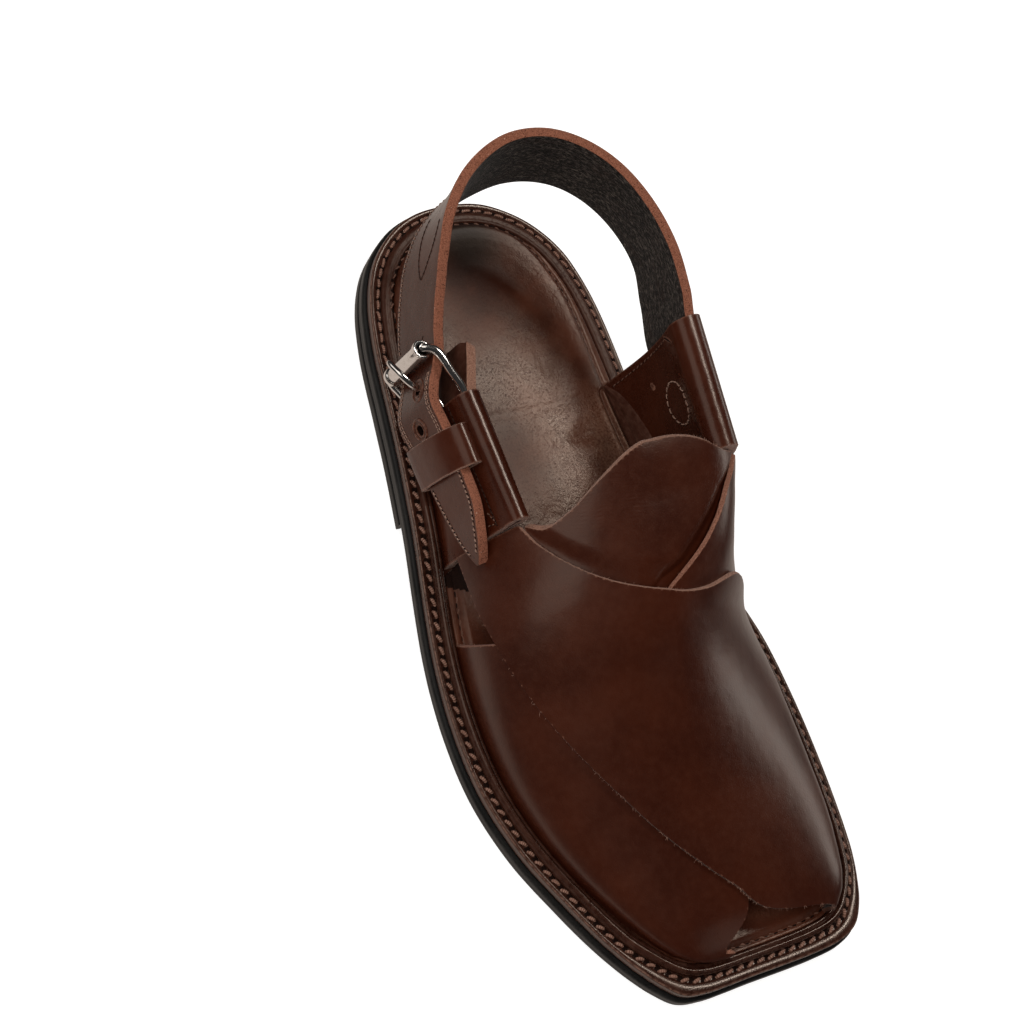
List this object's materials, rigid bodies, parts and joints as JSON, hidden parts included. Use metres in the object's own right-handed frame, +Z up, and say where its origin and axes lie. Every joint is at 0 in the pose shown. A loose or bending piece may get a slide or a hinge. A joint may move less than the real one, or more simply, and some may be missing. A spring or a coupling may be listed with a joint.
{
  "type": "peshawari chappal sandal",
  "caption": "Right leather sandal with a crossed-band vamp, square open toe, buckled heel strap and low-heeled welted sole.",
  "frame": {"origin": "middle of the bounding box's bottom, on the floor that the shoe stands on", "axes": "+X to the toe, +Y to the medial side, +Z up"},
  "size_m": [0.2821, 0.123, 0.0792],
  "materials": {
    "brown_leather": "polished dark brown leather",
    "insole_leather": "satin brown lining leather, worn",
    "sole_rubber": "matt black rubber",
    "nickel": "polished nickel plate"
  },
  "bodies": {
    "root": {"outsole": "sole_rubber", "heel_block": "sole_rubber", "midsole": "brown_leather", "rand": "brown_leather", "insole": "insole_leather", "upper": "brown_leather", "lateral_tab": "brown_leather", "medial_tab": "brown_leather", "chape": "brown_leather", "heel_strap": "brown_leather", "keeper": "brown_leather", "buckle_frame": "nickel", "buckle_roller": "nickel", "buckle_prong": "nickel"}
  },
  "joints": []
}
